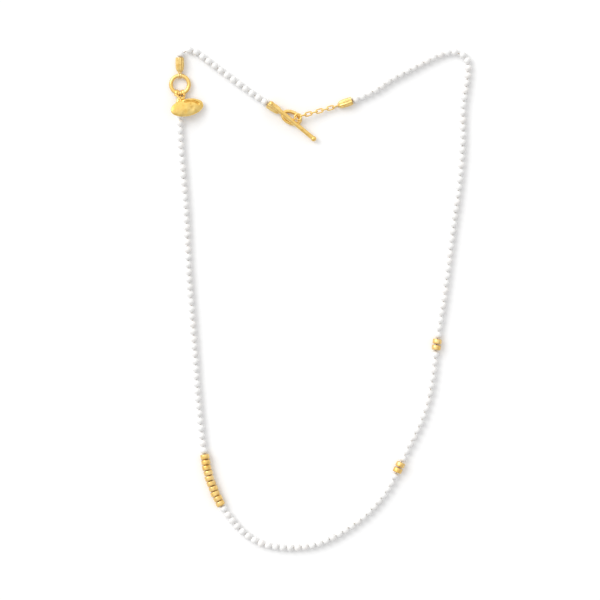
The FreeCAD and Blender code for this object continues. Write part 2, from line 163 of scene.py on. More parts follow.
def new_piece(name):
    """Names the primitive that was just added."""
    obj = bpy.context.view_layer.objects.active
    obj.name = name
    obj.data.name = name
    return obj


def open_for_editing(obj):
    pick_up(obj)
    bpy.ops.object.mode_set(mode="EDIT")
    bpy.ops.mesh.select_all(action="DESELECT")


def close_editing():
    bpy.ops.object.mode_set(mode="OBJECT")


def select_faces(obj, test):
    """In edit mode, selects the faces that pass the test, and nothing else."""
    bpy.ops.mesh.select_mode(type="FACE")
    bpy.ops.mesh.select_all(action="DESELECT")
    mesh = bmesh.from_edit_mesh(obj.data)
    for face in mesh.faces:
        if test(face.calc_center_median(), face.normal):
            face.select_set(True)
    bmesh.update_edit_mesh(obj.data)


def select_edges(obj, test):
    """In edit mode, selects the edges whose two ends pass the test, and nothing else."""
    bpy.ops.mesh.select_mode(type="EDGE")
    bpy.ops.mesh.select_all(action="DESELECT")
    mesh = bmesh.from_edit_mesh(obj.data)
    for edge in mesh.edges:
        if test(edge.verts[0].co, edge.verts[1].co):
            edge.select_set(True)
    bmesh.update_edit_mesh(obj.data)


def select_points(obj, test):
    """In edit mode, selects the vertices that pass the test, and nothing else."""
    bpy.ops.mesh.select_mode(type="VERT")
    bpy.ops.mesh.select_all(action="DESELECT")
    mesh = bmesh.from_edit_mesh(obj.data)
    for point in mesh.verts:
        if test(point.co):
            point.select_set(True)
    mesh.select_flush_mode()
    bmesh.update_edit_mesh(obj.data)


def from_axis(co):
    return math.hypot(co.x, co.y)


def swell(obj, name, grain, depth, seed):
    """Gives the surface soft lumps, as hand work leaves, and makes them part of the mesh."""
    lumps = bpy.data.textures.new(name, type="CLOUDS")
    lumps.noise_scale = grain
    lumps.noise_depth = 1
    place = bpy.data.objects.new(name + "_place", None)
    bpy.context.scene.collection.objects.link(place)
    place.location = (0.013 * seed, 0.029 * seed, 0.041 * seed)
    bpy.context.view_layer.update()
    change = obj.modifiers.new(name, "DISPLACE")
    change.texture = lumps
    change.texture_coords = "OBJECT"
    change.texture_coords_object = place
    change.strength = depth
    change.mid_level = 0.5
    apply_changes(obj, change.name)
    bpy.data.objects.remove(place)


def apply_changes(obj, *names):
    """Makes the named modifiers part of the mesh, in that order."""
    pick_up(obj)
    for name in names:
        bpy.ops.object.modifier_apply(modifier=name)


def smooth(obj, angle=40):
    pick_up(obj)
    bpy.ops.object.shade_smooth_by_angle(angle=math.radians(angle))


def clean(obj):
    """Joins doubled points and turns every face outwards."""
    open_for_editing(obj)
    bpy.ops.mesh.select_mode(type="VERT")
    bpy.ops.mesh.select_all(action="SELECT")
    bpy.ops.mesh.remove_doubles(threshold=1e-7)
    bpy.ops.mesh.normals_make_consistent(inside=False)
    close_editing()


def copy_piece(master, name, place):
    """A copy with its own mesh, moved to its place inside the mesh."""
    copy = master.copy()
    copy.data = master.data.copy()
    copy.name = name
    copy.data.name = name
    copy.data.transform(place)
    bpy.context.scene.collection.objects.link(copy)
    return copy


def join(pieces, name):
    put_down_everything()
    for piece in pieces:
        piece.select_set(True)
    bpy.context.view_layer.objects.active = pieces[0]
    if len(pieces) > 1:
        bpy.ops.object.join()
    return new_piece(name)


def put_away(obj):
    """A master is removed when its copies are made."""
    mesh = obj.data
    bpy.data.objects.remove(obj)
    bpy.data.meshes.remove(mesh)


def facing(centre, along, spin=0.0):
    """A place with its own Z along a direction, turned round it by an angle."""
    along = along.normalized()
    side = UP.cross(along)
    side = side.normalized() if side.length > 1e-6 else Vector((1, 0, 0))
    up = along.cross(side)
    turn = Matrix((side, up, along)).transposed().to_4x4()
    return Matrix.Translation(centre) @ turn @ Matrix.Rotation(spin, 4, "Z")


def middle_of(node):
    low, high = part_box(node)
    return (low + high) / 2


def joint(name):
    return next(found for found in frame["joints"] if found["name"] == name)


# ---------------------------------------------------------------- finishes
def socket(group, name, kind, into=True, value=None):
    made = group.interface.new_socket(
        name=name, in_out="INPUT" if into else "OUTPUT", socket_type=kind)
    if value is not None:
        made.default_value = value
    return made


class Bench:
    """Adds and wires the nodes of one tree."""

    def __init__(self, tree):
        self.tree = tree

    def add(self, kind, **settings):
        node = self.tree.nodes.new(kind)
        for name, value in settings.items():
            setattr(node, name, value)
        return node

    def wire(self, source, target):
        self.tree.links.new(source, target)

    def put(self, value, target):
        if isinstance(value, bpy.types.NodeSocket):
            self.wire(value, target)
        else:
            target.default_value = value

    def sum(self, operation, first, second, third=None):
        node = self.add("ShaderNodeMath", operation=operation)
        self.put(first, node.inputs[0])
        self.put(second, node.inputs[1])
        if third is not None:
            self.put(third, node.inputs[2])
        return node.outputs[0]

    def spread(self, value, low, high, to_low, to_high):
        node = self.add("ShaderNodeMapRange")
        node.clamp = True
        for target, number in zip(node.inputs, (value, low, high, to_low, to_high)):
            self.put(number, target)
        return node.outputs[0]

    def blend(self, share, first, second):
        node = self.add("ShaderNodeMix", data_type="RGBA")
        self.put(share, node.inputs[0])
        self.put(first, node.inputs[6])
        self.put(second, node.inputs[7])
        return node.outputs[2]

    def noise(self, vector, scale, detail=2.0, roughness=0.5):
        node = self.add("ShaderNodeTexNoise")
        self.put(vector, node.inputs["Vector"])
        self.put(scale, node.inputs["Scale"])
        node.inputs["Detail"].default_value = detail
        node.inputs["Roughness"].default_value = roughness
        return node.outputs["Fac"]


def make_hammer_group():
    """Soft hammer dents, as a height and as a mask of the dents' floors."""
    group = bpy.data.node_groups.new("hammer_dents", "ShaderNodeTree")
    socket(group, "Place", "NodeSocketVector")
    socket(group, "Dents per metre", "NodeSocketFloat", value=900.0)
    socket(group, "Height", "NodeSocketFloat", into=False)
    socket(group, "Dent", "NodeSocketFloat", into=False)
    bench = Bench(group)
    start = bench.add("NodeGroupInput")
    end = bench.add("NodeGroupOutput")
    place, scale = start.outputs[0], start.outputs[1]
    wander = bench.add("ShaderNodeTexNoise")
    bench.wire(place, wander.inputs["Vector"])
    bench.wire(scale, wander.inputs["Scale"])
    drift = bench.add("ShaderNodeVectorMath", operation="SCALE")
    bench.wire(wander.outputs["Color"], drift.inputs[0])
    drift.inputs["Scale"].default_value = 0.0006
    moved = bench.add("ShaderNodeVectorMath", operation="ADD")
    bench.wire(place, moved.inputs[0])
    bench.wire(drift.outputs[0], moved.inputs[1])
    cells = bench.add("ShaderNodeTexVoronoi", feature="SMOOTH_F1")
    bench.wire(moved.outputs[0], cells.inputs["Vector"])
    bench.wire(scale, cells.inputs["Scale"])
    cells.inputs["Smoothness"].default_value = 0.7
    rolling = bench.noise(place, bench.sum("MULTIPLY", scale, 0.45), 3.0)
    height = bench.sum("ADD", bench.sum("MULTIPLY", cells.outputs["Distance"], 0.7),
                       bench.sum("MULTIPLY", rolling, 0.6))
    bench.wire(height, end.inputs["Height"])
    bench.wire(bench.spread(cells.outputs["Distance"], 0.15, 0.6, 1.0, 0.0), end.inputs["Dent"])
    return group


def make_brush_group():
    """Fine brushed lines and stray scratches, as a height and a roughness."""
    group = bpy.data.node_groups.new("brushed_grain", "ShaderNodeTree")
    socket(group, "Place", "NodeSocketVector")
    socket(group, "Lines per metre", "NodeSocketFloat", value=9000.0)
    socket(group, "Smoothest", "NodeSocketFloat", value=0.24)
    socket(group, "Roughest", "NodeSocketFloat", value=0.42)
    socket(group, "Height", "NodeSocketFloat", into=False)
    socket(group, "Roughness", "NodeSocketFloat", into=False)
    bench = Bench(group)
    start = bench.add("NodeGroupInput")
    end = bench.add("NodeGroupOutput")
    place, lines, smoothest, roughest = start.outputs[0:4]
    stretched = bench.add("ShaderNodeVectorMath", operation="MULTIPLY")
    bench.wire(place, stretched.inputs[0])
    stretched.inputs[1].default_value = (0.12, 1.0, 0.35)
    fine = bench.noise(stretched.outputs[0], lines, 4.0, 0.65)
    patches = bench.noise(place, bench.sum("MULTIPLY", lines, 0.09), 3.0)
    rough = bench.sum("ADD", bench.sum("MULTIPLY", fine, 0.5), bench.sum("MULTIPLY", patches, 0.5))
    bench.wire(fine, end.inputs["Height"])
    bench.wire(bench.spread(rough, 0.35, 0.65, smoothest, roughest), end.inputs["Roughness"])
    return group


def make_tint_group():
    """A finish's colour: a main tone that drifts towards a paler and a deeper one, and a painted shade input
    that darkens it further towards the deeper one.
    """
    group = bpy.data.node_groups.new("drifting_tone", "ShaderNodeTree")
    socket(group, "Place", "NodeSocketVector")
    socket(group, "Patches per metre", "NodeSocketFloat", value=260.0)
    socket(group, "Main", "NodeSocketColor", value=(0.9, 0.6, 0.2, 1))
    socket(group, "Paler", "NodeSocketColor", value=(1.0, 0.75, 0.35, 1))
    socket(group, "Deeper", "NodeSocketColor", value=(0.7, 0.4, 0.1, 1))
    socket(group, "Painted shade", "NodeSocketFloat", value=0.0)
    socket(group, "Colour", "NodeSocketColor", into=False)
    bench = Bench(group)
    start = bench.add("NodeGroupInput")
    end = bench.add("NodeGroupOutput")
    place, scale, main, paler, deeper, painted_shade = start.outputs[0:6]
    broad = bench.noise(place, scale, 3.0, 0.55)
    other = bench.noise(place, bench.sum("MULTIPLY", scale, 2.7), 2.0, 0.5)
    shade = bench.blend(bench.spread(broad, 0.45, 0.75, 0.0, 1.0), main, paler)
    shade = bench.blend(bench.spread(other, 0.5, 0.8, 0.0, 0.8), shade, deeper)
    shade = bench.blend(painted_shade, shade, deeper)
    bench.wire(shade, end.inputs["Colour"])
    return group


hammer_dents = make_hammer_group()
brushed_grain = make_brush_group()
drifting_tone = make_tint_group()


def new_finish(name):
    finish = bpy.data.materials.new(name)
    finish.use_nodes = True
    bench = Bench(finish.node_tree)
    shader = finish.node_tree.nodes["Principled BSDF"]
    place = bench.add("ShaderNodeTexCoord").outputs["Object"]
    return finish, bench, shader, place


def use_group(bench, group, place, **values):
    node = bench.add("ShaderNodeGroup")
    node.node_tree = group
    bench.wire(place, node.inputs["Place"])
    for name, value in values.items():
        bench.put(value, node.inputs[name.replace("_", " ")])
    return node


def make_gold(name, main, paler, deeper, smoothest, roughest, dents, dent_depth, grain_depth):
    """Satin yellow gold, with hammer dents and a brushed grain; the floors of the dents are darkened as painted
    shade.
    """
    finish, bench, shader, place = new_finish(name)
    hammered = use_group(bench, hammer_dents, place, Dents_per_metre=dents)
    brushed = use_group(bench, brushed_grain, place, Smoothest=smoothest, Roughest=roughest)
    tone = use_group(bench, drifting_tone, place, Main=main, Paler=paler, Deeper=deeper)
    # painted shade: the floors of the hammer dents are darkened towards the deeper tone
    bench.wire(bench.sum("MULTIPLY", hammered.outputs["Dent"], 0.25), tone.inputs["Painted shade"])
    bench.wire(tone.outputs["Colour"], shader.inputs["Base Color"])
    bench.wire(brushed.outputs["Roughness"], shader.inputs["Roughness"])
    shader.inputs["Metallic"].default_value = 1.0
    lumps = bench.add("ShaderNodeBump")
    lumps.inputs["Strength"].default_value = 0.55
    lumps.inputs["Distance"].default_value = dent_depth
    bench.wire(hammered.outputs["Height"], lumps.inputs["Height"])
    lines = bench.add("ShaderNodeBump")
    lines.inputs["Strength"].default_value = 0.35
    lines.inputs["Distance"].default_value = grain_depth
    bench.wire(brushed.outputs["Height"], lines.inputs["Height"])
    bench.wire(lumps.outputs["Normal"], lines.inputs["Normal"])
    bench.wire(lines.outputs["Normal"], shader.inputs["Normal"])
    return finish


def make_pearl_finish():
    """Near-white nacre: each pearl has its own tint, with faint growth bands, a satin coat, and painted shade
    that greys its colour towards the rim as the surface turns from the view.
    """
    finish, bench, shader, place = new_finish("satin_nacre")
    own = bench.add("ShaderNodeAttribute", attribute_name="pearl_shade").outputs["Fac"]
    bands = bench.noise(place, 700.0, 3.0, 0.5)
    tone = bench.blend(bench.spread(own, 0.0, 0.6, 0.0, 1.0),
                       (0.88, 0.868, 0.85, 1), (0.93, 0.925, 0.915, 1))
    tone = bench.blend(bench.spread(own, 0.6, 1.0, 0.0, 1.0), tone, (0.94, 0.912, 0.885, 1))
    tone = bench.blend(bench.spread(bands, 0.55, 0.8, 0.0, 0.5), tone, (0.85, 0.835, 0.815, 1))
    # painted shade: the colour is greyed where the surface turns away from the view, through Layer Weight's
    # Facing
    painted_rim_shade = bench.add("ShaderNodeLayerWeight")
    painted_rim_shade.inputs["Blend"].default_value = 0.35
    tone = bench.blend(bench.sum("MULTIPLY", painted_rim_shade.outputs["Facing"], 0.3), tone, (0.84, 0.83, 0.84, 1))
    bench.wire(tone, shader.inputs["Base Color"])
    bench.wire(bench.spread(bench.noise(place, 1500.0, 2.0), 0.3, 0.7, 0.22, 0.38),
               shader.inputs["Roughness"])
    shader.inputs["Coat Weight"].default_value = 0.3
    shader.inputs["Coat Roughness"].default_value = 0.18
    ripples = bench.add("ShaderNodeBump")
    ripples.inputs["Strength"].default_value = 0.22
    ripples.inputs["Distance"].default_value = 0.05 * MM
    bench.wire(bench.noise(place, 1100.0, 3.0, 0.45), ripples.inputs["Height"])
    bench.wire(ripples.outputs["Normal"], shader.inputs["Normal"])
    return finish


def make_thread_finish():
    """Waxed twisted thread in a gold brown."""
    finish, bench, shader, place = new_finish("twisted_thread")
    tone = use_group(bench, drifting_tone, place, Patches_per_metre=1800.0,
                     Main=(0.42, 0.29, 0.13, 1), Paler=(0.62, 0.46, 0.24, 1),
                     Deeper=(0.24, 0.15, 0.06, 1))
    bench.wire(tone.outputs["Colour"], shader.inputs["Base Color"])
    fibres = bench.noise(place, 14000.0, 3.0, 0.6)
    bench.wire(bench.spread(fibres, 0.3, 0.7, 0.5, 0.8), shader.inputs["Roughness"])
    shader.inputs["Sheen Weight"].default_value = 0.3
    bump = bench.add("ShaderNodeBump")
    bump.inputs["Strength"].default_value = 0.5
    bump.inputs["Distance"].default_value = 0.02 * MM
    bench.wire(fibres, bump.inputs["Height"])
    bench.wire(bump.outputs["Normal"], shader.inputs["Normal"])
    return finish


wire_gold = make_gold("brushed_gold_wire", (0.90, 0.62, 0.20, 1), (0.96, 0.74, 0.33, 1),
                      (0.74, 0.42, 0.08, 1), 0.22, 0.36, 620.0, 0.10 * MM, 0.012 * MM)
cast_gold = make_gold("satin_gold_cast", (0.88, 0.63, 0.23, 1), (0.95, 0.74, 0.36, 1),
                      (0.70, 0.40, 0.08, 1), 0.24, 0.38, 800.0, 0.08 * MM, 0.012 * MM)
bead_gold = make_gold("hammered_gold_bead", (0.88, 0.59, 0.19, 1), (0.95, 0.72, 0.34, 1),
                      (0.67, 0.37, 0.07, 1), 0.26, 0.44, 700.0, 0.13 * MM, 0.012 * MM)
charm_gold = make_gold("hammered_gold_pebble", (0.94, 0.65, 0.19, 1), (0.98, 0.75, 0.30, 1),
                       (0.76, 0.45, 0.09, 1), 0.28, 0.46, 560.0, 0.22 * MM, 0.015 * MM)
nacre = make_pearl_finish()
thread_finish = make_thread_finish()


def give_finish(obj, finish):
    obj.data.materials.clear()
    obj.data.materials.append(finish)


# ---------------------------------------------------------------- camera and light
def set_camera():
    """A camera straight above the table, far enough off that the necklace lies almost flat in it."""
    data = bpy.data.cameras.new("table_camera")
    data.sensor_width = camera_sensor
    data.lens = camera_lens
    data.clip_start = 0.01
    data.clip_end = 20
    camera = bpy.data.objects.new("table_camera", data)
    bpy.context.scene.collection.objects.link(camera)
    height = field_across / 2 * camera_lens / (camera_sensor / 2)
    camera.location = (*camera_place, height + pearl_middle)
    bpy.context.scene.camera = camera


def set_light():
    """Soft daylight from one side, in a white room that is brighter on the window's side."""
    sun_data = bpy.data.lights.new("window_light", "SUN")
    sun_data.energy = window_strength
    sun_data.angle = math.radians(window_spread)
    sun = bpy.data.objects.new("window_light", sun_data)
    sun.rotation_euler = window_from.to_track_quat("Z", "Y").to_euler()
    bpy.context.scene.collection.objects.link(sun)

    world = bpy.data.worlds.new("white_studio")
    bpy.context.scene.world = world
    world.use_nodes = True
    world.node_tree.nodes.clear()
    bench = Bench(world.node_tree)
    towards = bench.add("ShaderNodeVectorMath", operation="DOT_PRODUCT")
    bench.wire(bench.add("ShaderNodeTexCoord").outputs["Generated"], towards.inputs[0])
    towards.inputs[1].default_value = room_from
    seen = bench.add("ShaderNodeLightPath")
    level = bench.spread(towards.outputs["Value"], -0.6, 0.95, room_dimmest, room_brightest)
    shine = bench.spread(towards.outputs["Value"], -0.3, 0.95, shine_dimmest, shine_brightest)
    level = bench.sum("ADD", level, bench.sum("MULTIPLY", seen.outputs["Is Glossy Ray"],
                                              bench.sum("SUBTRACT", shine, level)))
    room = bench.add("ShaderNodeBackground")
    room.inputs["Color"].default_value = (1.0, 1.0, 1.0, 1)
    bench.wire(level, room.inputs["Strength"])
    white = bench.add("ShaderNodeBackground")
    white.inputs["Color"].default_value = (1.0, 1.0, 1.0, 1)
    white.inputs["Strength"].default_value = 1.0
    mix = bench.add("ShaderNodeMixShader")
    bench.wire(bench.sum("MAXIMUM", seen.outputs["Is Camera Ray"], seen.outputs["Is Transmission Ray"]),
               mix.inputs[0])
    bench.wire(room.outputs[0], mix.inputs[1])
    bench.wire(white.outputs[0], mix.inputs[2])
    out = bench.add("ShaderNodeOutputWorld")
    bench.wire(mix.outputs[0], out.inputs["Surface"])
    bpy.context.scene.view_settings.view_transform = "Standard"


def set_table():
    """A plain white table top, which keeps the shadows."""
    put_down_everything()
    bpy.ops.mesh.primitive_plane_add(size=6.0, location=(0, 0, cad_box[0].z - table_drop))
    table = new_piece("white_table")
    pick_up(table)
    bpy.ops.object.transform_apply(location=True)
    finish = bpy.data.materials.new("white_table_top")
    finish.use_nodes = True
    finish.node_tree.nodes.clear()
    bench = Bench(finish.node_tree)
    place = bench.add("ShaderNodeTexCoord").outputs["Object"]
    tone = bench.blend(bench.noise(place, 30.0, 2.0), *table_tones)
    matt = bench.add("ShaderNodeBsdfDiffuse")
    bench.wire(tone, matt.inputs["Color"])
    seen = bench.add("ShaderNodeLightPath")
    plain = bench.sum("MAXIMUM", seen.outputs["Is Camera Ray"], seen.outputs["Is Transmission Ray"])
    plain = bench.sum("MAXIMUM", plain, seen.outputs["Is Glossy Ray"])
    glow = bench.add("ShaderNodeEmission")
    glow.inputs["Color"].default_value = (1.0, 1.0, 1.0, 1)
    bench.wire(bench.sum("MULTIPLY", plain, table_lift), glow.inputs["Strength"])
    both = bench.add("ShaderNodeAddShader")
    bench.wire(matt.outputs[0], both.inputs[0])
    bench.wire(glow.outputs[0], both.inputs[1])
    out = bench.add("ShaderNodeOutputMaterial")
    bench.wire(both.outputs[0], out.inputs["Surface"])
    give_finish(table, finish)


# ---------------------------------------------------------------- finding the beads' places
def loose_parts(node):
    """The middle of each separate solid of a node, from its mesh."""
    mesh = bmesh.new()
    mesh.from_mesh(frame["nodes"][node].data)
    bmesh.ops.remove_doubles(mesh, verts=mesh.verts, dist=1e-7)
    seen = set()
    middles = []
    for first in mesh.verts:
        if first in seen:
            continue
        seen.add(first)
        waiting = [first]
        low, high = first.co.copy(), first.co.copy()
        while waiting:
            point = waiting.pop()
            low = Vector(map(min, low, point.co))
            high = Vector(map(max, high, point.co))
            for edge in point.link_edges:
                other = edge.other_vert(point)
                if other not in seen:
                    seen.add(other)
                    waiting.append(other)
        middles.append((low + high) / 2)
    mesh.free()
    return middles


def in_order(beads, start):
    """The beads from the one nearest to start, each followed by the nearest that is left."""
    left = list(beads)
    here = start
    ordered = []
    while left:
        nearest = min(left, key=lambda bead: (bead["middle"] - here).length)
        left.remove(nearest)
        ordered.append(nearest)
        here = nearest["middle"]
    return ordered


def read_strand(bodies, caps):
    """Every bead of a strand in order, with its body, its middle and the thread's direction there."""
    beads = []
    for body in bodies:
        for middle in loose_parts("pearls_" + body):
            beads.append({"kind": "pearl", "body": body, "middle": middle})
    if "bottom" in bodies:
        for node in gold_beads:
            parent = joint(node + "_spin")["parent"]
            beads.append({"kind": "gold", "body": parent, "middle": middle_of(node), "node": node})
    start, end = (middle_of(cap) for cap in caps)
    beads = in_order(beads, start)
    line = [start] + [bead["middle"] for bead in beads] + [end]
    for bead, before, after in zip(beads, line, line[2:]):
        bead["along"] = (after - before).normalized()
    return beads, start, end


# ---------------------------------------------------------------- pearls
def make_pearl(number):
    """A bored pearl, a little wider than long, with soft lumps; its bore runs along Z."""
    put_down_everything()
    bpy.ops.mesh.primitive_uv_sphere_add(segments=24, ring_count=14, radius=pearl_across / 2)
    pearl = new_piece("pearl_master_%d" % number)
    bore_r = pearl_bore / 2
    open_for_editing(pearl)
    select_points(pearl, lambda co: from_axis(co) < bore_r * 0.5)
    bpy.ops.mesh.delete(type="VERT")
    bpy.ops.mesh.select_all(action="SELECT")
    bpy.ops.transform.resize(value=(pearl_widths[number], pearl_depths[number], pearl_lengths[number]))
    close_editing()
    swell(pearl, "pearl_lumps_%d" % number, (1.3 + 0.12 * number) * MM, pearl_lumps, number + 1)
    open_for_editing(pearl)
    for end in (1, -1):
        select_edges(pearl, lambda a, b: max(from_axis(a), from_axis(b)) < bore_r * 1.2
                     and abs(a.z - b.z) < 0.1 * MM and a.z * end > 0)
        bpy.ops.mesh.extrude_region_move(TRANSFORM_OT_translate={"value": (0, 0, -0.12 * MM * end)})
        bpy.ops.transform.resize(value=(0.86, 0.86, 1.0))
    bpy.ops.mesh.select_all(action="DESELECT")
    bpy.ops.mesh.select_mode(type="EDGE")
    bpy.ops.mesh.select_non_manifold(extend=False, use_wire=False, use_boundary=True,
                                     use_multi_face=False, use_non_contiguous=False, use_verts=False)
    bpy.ops.mesh.bridge_edge_loops()
    close_editing()
    clean(pearl)
    smooth(pearl, 50)
    give_finish(pearl, nacre)
    return pearl


def string_pearls(beads):
    """Every pearl in its place, one piece for each stretch of the strand."""
    table_z = cad_box[0].z
    stretches = {}
    for bead in beads:
        if bead["kind"] != "pearl":
            continue
        master = chance.choice(pearl_masters)
        place = facing(bead["middle"], bead["along"], chance.uniform(0, 2 * math.pi))
        copy = copy_piece(master, "pearl", place)
        low = min(point.co.z for point in copy.data.vertices)
        copy.data.transform(Matrix.Translation((0, 0, max(0.0, table_z - low))))
        shade = copy.data.attributes.new(name="pearl_shade", type="FLOAT", domain="POINT")
        own = chance.random()
        shade.data.foreach_set("value", [own] * len(copy.data.vertices))
        stretches.setdefault(bead["body"], []).append(copy)
    for body, copies in stretches.items():
        strand = join(copies, "pearl_stretch_" + body)
        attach(strand, body)
        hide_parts("pearls_" + body)


# ---------------------------------------------------------------- thread
def make_ply_section():
    """The outline across two plies that are twisted together."""
    data = bpy.data.curves.new("ply_section", "CURVE")
    data.dimensions = "2D"
    spline = data.splines.new("POLY")
    count = 10
    spline.points.add(count - 1)
    for k, point in enumerate(spline.points):
        angle = 2 * math.pi * k / count
        reach = thread_across / 2 * (0.76 + 0.24 * math.cos(2 * angle))
        point.co = (reach * math.cos(angle), reach * math.sin(angle), 0, 1)
    spline.use_cyclic_u = True
    section = bpy.data.objects.new("ply_section", data)
    bpy.context.scene.collection.objects.link(section)
    return section


def lay_thread(name, points, steps):
    """Twisted thread along the points, as a closed mesh."""
    data = bpy.data.curves.new(name, "CURVE")
    data.dimensions = "3D"
    data.resolution_u = steps
    data.bevel_mode = "OBJECT"
    data.bevel_object = ply_section
    data.use_fill_caps = True
    spline = data.splines.new("NURBS")
    spline.points.add(len(points) - 1)
    run = 0.0
    for k, point in enumerate(points):
        if k > 0:
            run += (point - points[k - 1]).length
        spline.points[k].co = (*point, 1)
        spline.points[k].tilt = 2 * math.pi * run / thread_turn
    spline.order_u = 3
    spline.use_endpoint_u = True
    obj = bpy.data.objects.new(name, data)
    bpy.context.scene.collection.objects.link(obj)
    pick_up(obj)
    bpy.ops.object.convert(target="MESH")
    return new_piece(name)


def tie_knot(name, middle):
    """A small overhand knot inside a cap, which the thread cannot pull through."""
    points = []
    count = 25
    for k in range(count):
        angle = 2 * math.pi * k / (count - 1)
        around = Vector((math.sin(angle) + 2 * math.sin(2 * angle),
                         math.cos(angle) - 2 * math.cos(2 * angle), -math.sin(3 * angle)))
        points.append(middle + around * (knot_across / 2 - thread_across / 2) / 3)
    return lay_thread(name, points, 3)


def string_thread(beads, start, end):
    """The thread of each stretch, from the gap before its first bead to the gap after its last."""
    stretches = []
    for bead in beads:
        if not stretches or stretches[-1][0]["body"] != bead["body"]:
            stretches.append([])
        stretches[-1].append(bead)
    gap = 0.02 * MM
    for k, stretch in enumerate(stretches):
        body = stretch[0]["body"]
        points = [bead["middle"] for bead in stretch]
        knots = []
        if k == 0:
            points.insert(0, start)
            knots.append(start)
        else:
            before = stretches[k - 1][-1]["middle"]
            first = (before + points[0]) / 2
            points.insert(0, first + (points[0] - first).normalized() * gap)
        if k == len(stretches) - 1:
            points.append(end)
            knots.append(end)
        else:
            after = stretches[k + 1][0]["middle"]
            last = (after + points[-1]) / 2
            points.append(last + (points[-1] - last).normalized() * gap)
        pieces = [lay_thread("thread_run_" + body, points, 18)]
        pieces += [tie_knot("thread_knot_" + body, knot) for knot in knots]
        thread = join(pieces, "thread_run_" + body)
        smooth(thread, 60)
        give_finish(thread, thread_finish)
        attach(thread, body)
        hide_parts("thread_" + body)


# ---------------------------------------------------------------- gold beads
def make_gold_bead():
    """A short bored drum with a rounded, slightly uneven side; its bore runs along Z."""
    put_down_everything()
    bpy.ops.mesh.primitive_cylinder_add(vertices=36, radius=bead_across / 2 * 0.99, depth=bead_long)
    bead = new_piece("gold_bead_master")
    bore_r = bead_bore / 2
    open_for_editing(bead)
    select_faces(bead, lambda co, normal: abs(normal.z) > 0.9)
    bpy.ops.mesh.inset(thickness=bead_across / 2 * 0.99 - bore_r - 0.1 * MM, use_individual=True)
    bpy.ops.mesh.inset(thickness=0.1 * MM, depth=-0.09 * MM, use_individual=True)
    bpy.ops.mesh.bridge_edge_loops()
    half = bead_long / 2
    select_edges(bead, lambda a, b: abs(a.z - b.z) < 1e-7 and abs(abs(a.z) - half) < 1e-6
                 and from_axis(a) > bead_across / 2 * 0.9)
    bpy.ops.mesh.bevel(offset=0.34 * MM, segments=4, profile=0.5, affect="EDGES")
    select_edges(bead, lambda a, b: abs(a.z - b.z) > 0.3 * MM and from_axis(a) > bead_across / 2 * 0.9)
    bpy.ops.mesh.subdivide(number_cuts=2)
    select_points(bead, lambda co: abs(co.z) < 0.3 * MM and from_axis(co) > bead_across / 2 * 0.9)
    bpy.ops.transform.resize(value=(1.012, 1.012, 1.0))
    close_editing()
    clean(bead)
    swell(bead, "bead_lumps", 1.3 * MM, 0.06 * MM, 5)
    smooth(bead, 40)
    give_finish(bead, bead_gold)
    return bead


def place_gold_beads():
    master = make_gold_bead()
    for node in gold_beads:
        spin = joint(node + "_spin")
        along = Vector(spin["axis"])
        copy = copy_piece(master, "drum_" + node,
                          facing(middle_of(node), along, chance.uniform(0, 2 * math.pi)))
        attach(copy, spin["child"])
        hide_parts(node)
    put_away(master)


# ---------------------------------------------------------------- end caps
def make_cap():
    """A fluted cup with its mouth at z = 0, a floor behind it, and an eye pin hole in its narrow end."""
    put_down_everything()
    long = cap_outline[-1][0] * MM
    bpy.ops.mesh.primitive_cylinder_add(vertices=cap_flutes * 6, radius=1.0 * MM, depth=long,
                                        location=(0, 0, long / 2), end_fill_type="NOTHING")
    cap = new_piece("fluted_cap_master")
    pick_up(cap)
    bpy.ops.object.transform_apply(location=True)
    open_for_editing(cap)
    for height, out in cap_outline[1:-1]:
        bpy.ops.mesh.select_all(action="SELECT")
        bpy.ops.mesh.bisect(plane_co=(0, 0, height * MM), plane_no=(0, 0, 1))
    for height, out in cap_outline:
        select_points(cap, lambda co: abs(co.z - height * MM) < 1e-6)
        bpy.ops.transform.resize(value=(out, out, 1))
    step = 2 * math.pi / cap_flutes

    def flute_share(co):
        return abs((math.atan2(co.y, co.x) / step) % 1.0 - 0.5) * 2

    for low, high, depth in cap_flute_depths:
        select_points(cap, lambda co: low < flute_share(co) < high
                      and cap_mouth_lip < co.z < long - 0.1 * MM)
        bpy.ops.transform.resize(value=(depth, depth, 1))
    select_edges(cap, lambda a, b: min(a.z, b.z) > long - 0.01 * MM)
    share = cap_hole / 2 / (cap_outline[-1][1] * MM)
    bpy.ops.mesh.extrude_region_move(TRANSFORM_OT_translate={"value": (0, 0, 0.04 * MM)})
    bpy.ops.transform.resize(value=((1 + share) / 2, (1 + share) / 2, 1))
    bpy.ops.mesh.extrude_region_move(TRANSFORM_OT_translate={"value": (0, 0, 0)})
    bpy.ops.transform.resize(value=(share * 2 / (1 + share), share * 2 / (1 + share), 1))
    close_editing()
    clean(cap)
    wall = cap.modifiers.new("wall", "SOLIDIFY")
    wall.thickness = cap_wall
    wall.offset = -1
    soft = cap.modifiers.new("soft_edges", "SUBSURF")
    soft.levels = 1
    soft.render_levels = 1
    apply_changes(cap, "wall", "soft_edges")
    put_down_everything()
    bpy.ops.mesh.primitive_cylinder_add(vertices=48, radius=cap_floor_across / 2, depth=cap_floor_thick)
    floor = new_piece("cap_floor")
    open_for_editing(floor)
    select_faces(floor, lambda co, normal: abs(normal.z) > 0.9)
    bpy.ops.mesh.inset(thickness=(cap_floor_across - cap_floor_hole) / 2, use_individual=True)
    bpy.ops.mesh.bridge_edge_loops()
    close_editing()
    clean(floor)
    floor.data.transform(Matrix.Translation((0, 0, cap_floor_deep)))
    cap = join([cap, floor], "fluted_cap_master")
    swell(cap, "cap_lumps", 1.2 * MM, 0.04 * MM, 4)
    smooth(cap, 50)
    give_finish(cap, cast_gold)
    return cap


